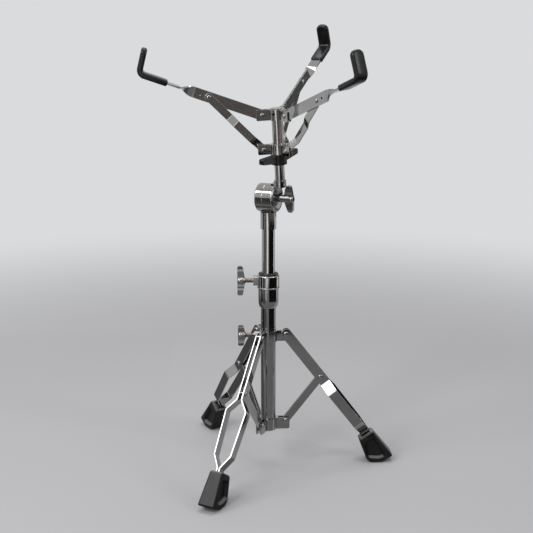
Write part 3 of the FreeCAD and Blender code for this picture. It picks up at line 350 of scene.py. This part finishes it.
def makeBoot(legName):
    form = bootForm
    bm = bmesh.new()
    nearSide = bm.faces.new([bm.verts.new((out * mm, -bootHalf(up) * mm, up * mm))
                             for out, up in form["outline"]])
    for vert in vertsOf(bmesh.ops.extrude_face_region(bm, geom=[nearSide])["geom"]):
        vert.co.y = -vert.co.y
    bmesh.ops.recalc_face_normals(bm, faces=bm.faces)
    heelOut = form["outline"][0][0] * mm
    near = closeness["near"] * mm
    heel = [edge for edge in bm.edges
            if all(vert.co.z < near and abs(vert.co.x - heelOut) < near for vert in edge.verts)]
    rounded(bm, heel, form["heelRound"], form["heelSteps"])
    rounded(bm, sharpEdges(bm, form["edgeAngle"]), form["edgeRound"], form["edgeSteps"])
    bm.normal_update()
    front, back = form["outline"][3], form["outline"][4]
    upwards = Vector((back[1] - front[1], 0, front[0] - back[0])).normalized()
    mouth = max(bm.faces, key=lambda face: face.normal.dot(upwards) * face.calc_area())
    bmesh.ops.inset_individual(bm, faces=[mouth], thickness=form["mouthRim"] * mm)
    bmesh.ops.inset_individual(bm, faces=[mouth], thickness=form["mouthSlope"] * mm,
                               depth=-form["mouthDepth"] * mm)
    for side in (-1, 1):  # a pocket with round corners and a sloped ledge in each side
        face = max(bm.faces, key=lambda item: item.normal.y * side * item.calc_area())
        ring = list(face.edges)
        bmesh.ops.delete(bm, geom=[face], context="FACES_ONLY")
        corners = [bm.verts.new(Vector((out, side * bootHalf(up), up)) * mm) for out, up in form["recess"]]
        bm.faces.new(corners if side < 0 else corners[::-1])
        rounded(bm, corners, form["recessRound"], form["recessRoundSteps"], "VERTICES")
        bm.normal_update()
        pocket = max(bm.faces, key=lambda item: item.normal.y * side * item.calc_area())
        bmesh.ops.triangle_fill(bm, use_beauty=True, edges=ring + list(pocket.edges))
        for across, deep in form["recessSteps"]:
            bmesh.ops.inset_individual(bm, faces=[pocket], thickness=across * mm, depth=-deep * mm)
    bmesh.ops.recalc_face_normals(bm, faces=bm.faces)
    reach = stance["pivotReach"] + stance["legLength"] * math.sin(math.radians(stance["legLean"]))
    place = column @ turned(stance["legTurns"][legName], "Z") @ moved(reach)
    bmesh.ops.transform(bm, matrix=place, verts=bm.verts)
    node = f"leg_{legName}_boot"
    piece = finishPiece(node + "_moulded", bm, finishes["black_rubber"], f"leg_{legName}",
                        node, form["softAngle"])
    keepFlats(piece)
    paintedTopHighlight = piece.data.attributes.new("paintedTopHighlight", "FLOAT", "FACE")  # painted highlight: how far each face looks up, which lightens it in the material
    for polygon, item in zip(piece.data.polygons, paintedTopHighlight.data):
        item.value = max(polygon.normal.z, 0.0)


for legName in stance["legTurns"]:
    makeBoot(legName)
print("boots made")


def grow(bm, edges, shift):
    grown = bmesh.ops.extrude_edge_only(bm, edges=edges)["geom"]
    bmesh.ops.translate(bm, vec=shift, verts=vertsOf(grown))
    return edgesOf(grown)


# both strip and sleeve run straight to the corner, round it and up to the tip
def roundCorner(bm, edges, form):
    lead = form["cornerRadius"] * math.tan(math.radians(form["cornerAngle"] / 2))
    edges = grow(bm, edges, Vector((form["corner"] - lead - form["cornerFrom"], 0, 0)) * mm)
    centre = Vector((form["corner"] - lead, 0, form["cornerRadius"])) * mm
    spun = bmesh.ops.spin(bm, geom=edges, cent=centre, axis=(0, -1, 0), steps=form["cornerSteps"],
                          angle=math.radians(form["cornerAngle"]))["geom_last"]
    up = turned(-form["cornerAngle"], "Y") @ Vector((1, 0, 0))
    edges = grow(bm, edgesOf(spun), up * (form["upright"] - lead) * mm)
    tip = bmesh.ops.contextual_create(bm, geom=edges)["faces"][0]
    bmesh.ops.remove_doubles(bm, verts=bm.verts, dist=closeness["cut"] * mm)
    bmesh.ops.recalc_face_normals(bm, faces=bm.faces)
    return tip


def armPlace(armName):
    return (basket @ turned(stance["basketTurn"] + stance["armTurns"][armName], "Z")
            @ moved(stance["hubPivotReach"], 0, stance["upperHub"]) @ turned(-stance["armRise"], "Y"))


# arm strips, in mm along the arm: flat at the hub, a spare hole, a quarter twist, a corner inside the sleeve
armForm = {"start": -7.5, "halfWidth": 8.5, "halfGauge": 1.5, "endRound": 6.8, "endSteps": 8,
           "holeBay": (98.0, 108.0), "hole": 103.0, "holeRadius": 2.0, "holeMargin": 2.0, "holeSquare": 1.0,
           "holeCuts": 4, "twist": (109.0, 140.0), "twistAngle": -90, "twistSteps": 20,
           "cornerFrom": 140.0, "corner": 202.3, "cornerRadius": 9.0, "cornerAngle": 85.2, "cornerSteps": 10,
           "upright": 35.5, "edgeBreak": 0.5}


def pierce(bm, form):
    low, high = form["holeBay"]
    centre = form["hole"]
    square = form["holeSquare"]
    bay = [face for face in bm.faces if abs(face.normal.y) > abs(face.normal.z)
           and low * mm < face.calc_center_median().x < high * mm]
    rims = []
    for face in bay:
        bmesh.ops.inset_individual(bm, faces=[face], thickness=form["holeMargin"] * mm)
        for vert in face.verts:
            vert.co.x = (centre + math.copysign(square, vert.co.x - centre * mm)) * mm
            vert.co.z = math.copysign(square, vert.co.z) * mm
        ring = list(face.edges)
        bmesh.ops.delete(bm, geom=[face], context="FACES_ONLY")
        split = bmesh.ops.subdivide_edges(bm, edges=ring, cuts=form["holeCuts"])["geom_inner"]
        rim = {vert for edge in ring for vert in edge.verts} | set(vertsOf(split))
        for vert in rim:
            out = Vector((vert.co.x - centre * mm, vert.co.z)).normalized() * form["holeRadius"] * mm
            vert.co.x = centre * mm + out.x
            vert.co.z = out.y
        rims += [edge for edge in bm.edges if edge.verts[0] in rim and edge.verts[1] in rim]
    bmesh.ops.bridge_loops(bm, edges=rims)


def makeArm(armName):
    form = armForm
    bm = bmesh.new()
    across = form["halfWidth"] * mm
    thin = form["halfGauge"] * mm
    bm.faces.new([bm.verts.new((form["start"] * mm, y, z)) for y, z in
                  ((-thin, -across), (thin, -across), (thin, across), (-thin, across))])
    edges = list(bm.edges)
    at = form["start"]
    for stop in (*form["holeBay"], form["twist"][0]):
        edges = grow(bm, edges, Vector((stop - at, 0, 0)) * mm)
        at = stop
    step = (form["twist"][1] - form["twist"][0]) / form["twistSteps"]
    done = 0.0
    for i in range(form["twistSteps"]):
        share = (i + 1) / form["twistSteps"]
        angle = form["twistAngle"] * share * share * (3 - 2 * share)  # eased, as a wrung strip is
        edges = grow(bm, edges, Vector((step, 0, 0)) * mm)
        bmesh.ops.rotate(bm, matrix=turned(angle - done, "X").to_3x3(),
                         verts=list({vert for edge in edges for vert in edge.verts}))
        done = angle
    roundCorner(bm, edges, form)
    pierce(bm, form)
    near = closeness["near"] * mm
    root = [edge for edge in bm.edges
            if all(abs(vert.co.x - form["start"] * mm) < near for vert in edge.verts)
            and abs(edge.verts[0].co.z - edge.verts[1].co.z) < near]
    rounded(bm, root, form["endRound"], form["endSteps"])
    rounded(bm, sharpEdges(bm, angles["sharp"]), form["edgeBreak"], breakSteps)
    bmesh.ops.recalc_face_normals(bm, faces=bm.faces)
    bmesh.ops.transform(bm, matrix=armPlace(armName), verts=bm.verts)
    node = f"arm_{armName}"
    keepFlats(finishPiece(node + "_pressed", bm, finishes["chromed_steel"], nodes[node]["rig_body"],
                          node))


for armName in stance["armTurns"]:
    makeArm(armName)
print("arms made")


# dipped sleeves: in mm along the arm, round the corner and up to a round tip
sleeveForm = {"cornerFrom": 156.0, "corner": 202.0, "cornerRadius": 9.0, "cornerAngle": 85.2,
              "cornerSteps": 10, "upright": 40.5, "halfWidth": 10.5, "halfDepth": 4.75,
              "tipRound": 8.6, "tipSteps": 8, "edgeRound": 3.4, "edgeSteps": 4, "edgeAngle": 50,
              "mouthRim": 1.6, "mouthSlope": 0.2, "mouthDepth": 1.2, "softAngle": 40}


def makeSleeve(armName):
    form = sleeveForm
    bm = bmesh.new()
    across = form["halfWidth"] * mm
    deep = form["halfDepth"] * mm
    bm.faces.new([bm.verts.new((form["cornerFrom"] * mm, y, z)) for y, z in
                  ((-across, -deep), (across, -deep), (across, deep), (-across, deep))])
    tip = roundCorner(bm, list(bm.edges), form)
    near = closeness["near"] * mm
    corners = [edge for edge in tip.edges if abs(edge.verts[0].co.y - edge.verts[1].co.y) < near]
    rounded(bm, corners, form["tipRound"], form["tipSteps"])
    rounded(bm, sharpEdges(bm, form["edgeAngle"]), form["edgeRound"], form["edgeSteps"])
    mouth = min(bm.faces, key=lambda face: face.calc_center_median().x)
    bmesh.ops.inset_individual(bm, faces=[mouth], thickness=form["mouthRim"] * mm)
    bmesh.ops.inset_individual(bm, faces=[mouth], thickness=form["mouthSlope"] * mm,
                               depth=-form["mouthDepth"] * mm)
    bmesh.ops.transform(bm, matrix=armPlace(armName), verts=bm.verts)
    node = f"arm_{armName}_sleeve"
    finishPiece(node + "_dipped", bm, finishes["black_vinyl"], nodes[node]["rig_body"], node,
                form["softAngle"])


for armName in stance["armTurns"]:
    makeSleeve(armName)
print("sleeves made")


# the wing bolts' threads between boss and hub, drawn at twice the real pitch so that they show, in mm
threadForm = {"crest": 4.0, "root": 3.3, "pitch": 2.0, "steps": 20, "softAngle": 70,
              "bolts": {"height_wing_bolt": ("boltHeight", 25.0, 38.5),
                        "leg_collar_wing_bolt": ("collarBoltHeight", 23.5, 38.0)}}


def makeThread(nodeName):
    form = threadForm
    heightName, inner, outer = form["bolts"][nodeName]
    bm = bmesh.new()
    turns = math.ceil((outer - inner) / form["pitch"])
    profile = [bm.verts.new(Vector((inner + share * form["pitch"], 0, radius)) * mm) for share, radius in
               ((0, form["root"]), (0.5, form["crest"]), (1, form["root"]))]
    edges = [bm.edges.new(profile[:2]), bm.edges.new(profile[1:])]
    bmesh.ops.spin(bm, geom=profile + edges, cent=(0, 0, 0), axis=(1, 0, 0), steps=turns * form["steps"],
                   dvec=Vector((form["pitch"] / form["steps"], 0, 0)) * mm, angle=2 * math.pi * turns)
    bmesh.ops.remove_doubles(bm, verts=bm.verts, dist=closeness["near"] * mm)
    bmesh.ops.recalc_face_normals(bm, faces=bm.faces)
    place = column @ moved(z=stance[heightName]) @ turned(180, "Z")
    bmesh.ops.transform(bm, matrix=place, verts=bm.verts)
    finishPiece(nodeName + "_thread", bm, boltSteel, nodes[nodeName]["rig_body"],
                softAngle=form["softAngle"])
    root = form["root"] * mm
    bolt = bpy.data.objects[nodeName + "_finished"].data
    for vert in bolt.vertices:  # the plain shank draws in to the thread's root
        local = place.inverted() @ vert.co
        radius = math.hypot(local.y, local.z)
        if local.x < outer * mm and radius > root:
            vert.co = place @ Vector((local.x, local.y * root / radius, local.z * root / radius))


for nodeName in threadForm["bolts"]:
    makeThread(nodeName)
print("threads cut")


# a bead round the foot of the height clamp's ring, points out and up in mm from the cup's foot
beadForm = {"profile": [(18.2, 33.7), (18.9, 33.9), (19.2, 34.5), (19.2, 35.1), (18.9, 35.6), (18.2, 35.8)],
            "steps": 72, "softAngle": 60}


def makeBead():
    bm = bmesh.new()
    points = [bm.verts.new(Vector((out, 0, up)) * mm) for out, up in beadForm["profile"]]
    edges = [bm.edges.new(pair) for pair in zip(points, points[1:])]
    bmesh.ops.spin(bm, geom=points + edges, cent=(0, 0, 0), axis=(0, 0, 1), steps=beadForm["steps"],
                   angle=2 * math.pi, use_merge=True)
    bmesh.ops.recalc_face_normals(bm, faces=bm.faces)
    bmesh.ops.transform(bm, matrix=column @ moved(z=cupForm["foot"]), verts=bm.verts)
    slot = slotOf["height_clamp"]
    finishPiece("height_clamp_bead", bm, finishes[slot], nodes["height_clamp"]["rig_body"],
                softAngle=beadForm["softAngle"])


makeBead()
print("bead made")


# a small set screw in the upper hub's band, with a hexagon socket, in mm
setScrew = {"turn": -90.0, "height": 140.6, "seat": 12.6, "radius": 2.3, "sides": 24, "proud": 0.75,
            "socket": 1.35, "depth": 0.6, "slope": 0.02, "rimRound": 0.3, "rimSteps": 2}


def makeSetScrew():
    form = setScrew
    bm = bmesh.new()
    bmesh.ops.create_circle(bm, cap_ends=True, segments=form["sides"], radius=form["radius"] * mm)
    grown = bmesh.ops.extrude_face_region(bm, geom=list(bm.faces))["geom"]
    bmesh.ops.translate(bm, vec=(0, 0, form["proud"] * mm), verts=vertsOf(grown))
    bmesh.ops.recalc_face_normals(bm, faces=bm.faces)
    top = max(bm.faces, key=lambda face: face.calc_center_median().z)
    rim = list(top.edges)
    bmesh.ops.inset_individual(bm, faces=[top], thickness=(form["radius"] - form["socket"]) * mm)
    half = math.radians(30)
    for vert in top.verts:  # the round socket becomes a hexagon
        turn = math.atan2(vert.co.y, vert.co.x) % (2 * half) - half
        reach = form["socket"] * math.cos(half) / math.cos(turn) * mm
        vert.co.x, vert.co.y = Vector((vert.co.x, vert.co.y)).normalized() * reach
    bmesh.ops.inset_individual(bm, faces=[top], thickness=form["slope"] * mm, depth=-form["depth"] * mm)
    rounded(bm, rim, form["rimRound"], form["rimSteps"])
    place = basket @ turned(form["turn"], "Z") @ moved(form["seat"], 0, form["height"]) @ turned(90, "Y")
    bmesh.ops.transform(bm, matrix=place, verts=bm.verts)
    finishPiece("upper_hub_set_screw", bm, blackOxide, nodes["upper_hub"]["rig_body"])


makeSetScrew()
print("set screw made")


# rivets keep the solids' shape, shaded over all but their sharpest edges
rivetForm = {"softAngle": 45}


def smoothRivet(nodeName):
    bm = bmesh.new()
    bm.from_mesh(nodes[nodeName].data)
    bmesh.ops.remove_doubles(bm, verts=bm.verts, dist=closeness["solid"] * mm)
    slot = slotOf[nodeName]
    finishPiece(nodeName + "_finished", bm, finishes[slot], nodes[nodeName]["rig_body"], nodeName,
                rivetForm["softAngle"])


for nodeName in sorted(nodes):
    if nodeName.endswith(("_rivet", "_rivets")):
        smoothRivet(nodeName)
print("rivets smoothed")


# stage, in metres: a plain pale floor that fades into the backdrop, and what stands round the object
# boxes: place, size and watts; cards: turns in degrees, foot and top; mats: place and half size
studio = {"floor": "#B2B2B4", "floorHalf": 15.0, "fadeFrom": 0.7, "fadeTo": 2.2, "backdrop": "#DADBDD",
          "ambient": 0.42, "aim": (0, 0, 0.35),
          "boxes": [("keyBox", (-1.65, -1.9, 1.9), (0.7, 1.6), 30),
                    ("leftBox", (-2.0, -0.7, 2.15), (0.8, 1.2), 18),
                    ("rightBox", (2.3, -1.5, 1.9), (0.5, 1.6), 12),
                    ("topBox", (0.1, 0.3, 3.0), (1.8, 1.8), 30),
                    ("frontBox", (-0.15, -2.1, 2.2), (0.5, 0.3), 3),
                    ("lowStrip", (-0.36, -1.15, 0.35), (0.12, 0.7), 0.6),
                    ("backStrip", (1.15, 0.3, 0.35), (0.12, 0.7), 0.5)],
          "cardReach": 0.75, "cardSteps": 12,
          "cards": [("rightCard", (-86, 8), (0.0, 0.29), "#202021"),
                    ("leftCard", (-182, -160), (0.0, 0.42), "#2A2A2B"),
                    ("sideCard", (-152, -130), (0.12, 0.52), "#6E6A67"),
                    ("backCard", (17, 57), (0.3, 0.75), "#6A6A6C"),
                    ("frontCard", (-100, 8), (0.29, 0.56), "#9A9492")],
          "mats": [("frontMat", (0.15, -0.68, 0.001), (0.55, 0.6), "#858587"),
                   ("leftMat", (-0.73, -0.53, 0.001), (0.32, 0.33), "#5A5A5C"),
                   ("sideMat", (-0.66, 0.34, 0.001), (0.46, 0.44), "#606062")]}


def facing(place, target):
    return (Vector(target) - Vector(place)).to_track_quat("-Z", "Y").to_matrix().to_4x4()


# the share of rays that see the backdrop as it is: the camera's, and those that metal or glass sends on
def shownRays(tree):
    path = addNode(tree, "ShaderNodeLightPath")
    total = path.outputs["Is Camera Ray"]
    for ray in ("Is Glossy Ray", "Is Transmission Ray"):
        both = addNode(tree, "ShaderNodeMath", operation="ADD", use_clamp=True)
        tree.links.new(total, both.inputs[0])
        tree.links.new(path.outputs[ray], both.inputs[1])
        total = both.outputs["Value"]
    return total


def stageMesh(name, bm, material):
    mesh = bpy.data.meshes.new(name)
    bm.to_mesh(mesh)
    bm.free()
    mesh.materials.append(material)
    thing = bpy.data.objects.new(name, mesh)
    bpy.context.scene.collection.objects.link(thing)
    return thing


def makeFloor():
    material, tree = startMaterial("paleFloor")
    place = addNode(tree, "ShaderNodeTexCoord").outputs["Object"]
    lit = addNode(tree, "ShaderNodeBsdfPrincipled", {"Base Color": linear(studio["floor"]), "Roughness": 0.9,
                                                     "Specular IOR Level": 0.1})
    far = addNode(tree, "ShaderNodeEmission", {"Color": linear(studio["backdrop"]), "Strength": 1.0})
    away = addNode(tree, "ShaderNodeVectorMath", links={"Vector": place}, operation="LENGTH")
    fade = addNode(tree, "ShaderNodeMapRange", {"From Min": studio["fadeFrom"], "From Max": studio["fadeTo"]},
                   {"Value": away.outputs["Value"]}, interpolation_type="SMOOTHSTEP")
    share = addNode(tree, "ShaderNodeMath", operation="MULTIPLY")
    tree.links.new(fade.outputs["Result"], share.inputs[0])
    tree.links.new(shownRays(tree), share.inputs[1])
    mix = addNode(tree, "ShaderNodeMixShader", links={"Fac": share.outputs["Value"]})
    tree.links.new(lit.outputs["BSDF"], mix.inputs[1])
    tree.links.new(far.outputs["Emission"], mix.inputs[2])
    addNode(tree, "ShaderNodeOutputMaterial", links={"Surface": mix.outputs["Shader"]})
    bm = bmesh.new()
    bmesh.ops.create_grid(bm, x_segments=1, y_segments=1, size=studio["floorHalf"])
    stageMesh("paleFloor", bm, material)


def mattePaint(name, colour):
    material, tree = startMaterial(name)
    shader = addNode(tree, "ShaderNodeBsdfPrincipled", {"Base Color": linear(colour), "Roughness": 1.0,
                                                        "Specular IOR Level": 0.0})
    addNode(tree, "ShaderNodeOutputMaterial", links={"Surface": shader.outputs["BSDF"]})
    return material


def metalOnly(thing):
    thing.visible_camera = False
    thing.visible_diffuse = False
    thing.visible_shadow = False
    thing.visible_transmission = False


# curved cards that only metal reflects give the tubes and plates their dark streaks
def makeCards():
    for name, (start, end), (foot, top), colour in studio["cards"]:
        bm = bmesh.new()
        side = turned(start, "Z") @ Vector((studio["cardReach"], 0, 0))
        edge = bm.edges.new([bm.verts.new(side + Vector((0, 0, height))) for height in (foot, top)])
        bmesh.ops.spin(bm, geom=[edge, *edge.verts], cent=(0, 0, 0), axis=(0, 0, 1),
                       steps=studio["cardSteps"], angle=math.radians(end - start))
        metalOnly(stageMesh(name, bm, mattePaint(name, colour)))


# mats flat on the floor do the same for the leg plates, the tilter and the tube's foot
def makeMats():
    for name, place, half, colour in studio["mats"]:
        bm = bmesh.new()
        bmesh.ops.create_grid(bm, x_segments=1, y_segments=1, size=1.0)
        bmesh.ops.scale(bm, vec=(*half, 1), verts=bm.verts)
        bmesh.ops.translate(bm, vec=place, verts=bm.verts)
        metalOnly(stageMesh(name, bm, mattePaint(name, colour)))


def makeLamps():
    for name, place, size, watts in studio["boxes"]:
        lamp = bpy.data.lights.new(name, "AREA")
        lamp.shape = "RECTANGLE"
        lamp.size, lamp.size_y = size
        lamp.energy = watts
        box = bpy.data.objects.new(name, lamp)
        box.matrix_world = Matrix.Translation(place) @ facing(place, studio["aim"])
        box.visible_camera = False
        box.visible_diffuse = not name.endswith("Strip")  # the strips near the floor show in metal alone
        bpy.context.scene.collection.objects.link(box)


def makeWorld():
    world = bpy.data.worlds.new("paleRoom")
    bpy.context.scene.world = world
    world.use_nodes = True
    tree = world.node_tree
    tree.nodes.clear()
    lit = addNode(tree, "ShaderNodeBackground", {"Color": (1, 1, 1, 1), "Strength": studio["ambient"]})
    backdrop = addNode(tree, "ShaderNodeBackground", {"Color": linear(studio["backdrop"]), "Strength": 1.0})
    mix = addNode(tree, "ShaderNodeMixShader", links={"Fac": shownRays(tree)})
    tree.links.new(lit.outputs["Background"], mix.inputs[1])
    tree.links.new(backdrop.outputs["Background"], mix.inputs[2])
    addNode(tree, "ShaderNodeOutputWorld", links={"Surface": mix.outputs["Shader"]})


makeFloor()
makeCards()
makeMats()
makeLamps()
makeWorld()

# the photograph's viewpoint, in mm and degrees
viewpoint = {"lens": 66.46, "sensor": 36.0, "place": (-91.6, -1583.7, 728.4), "pitch": 76.69, "turn": -2.96}
camera = bpy.data.cameras.new("viewpoint")
camera.sensor_width = viewpoint["sensor"]
camera.lens = viewpoint["lens"]
cameraObject = bpy.data.objects.new("viewpoint", camera)
cameraObject.location = Vector(viewpoint["place"]) * mm
cameraObject.rotation_euler = (math.radians(viewpoint["pitch"]), 0, math.radians(viewpoint["turn"]))
bpy.context.scene.collection.objects.link(cameraObject)
bpy.context.scene.camera = cameraObject
bpy.context.scene.view_settings.view_transform = "Standard"
print("stage set")
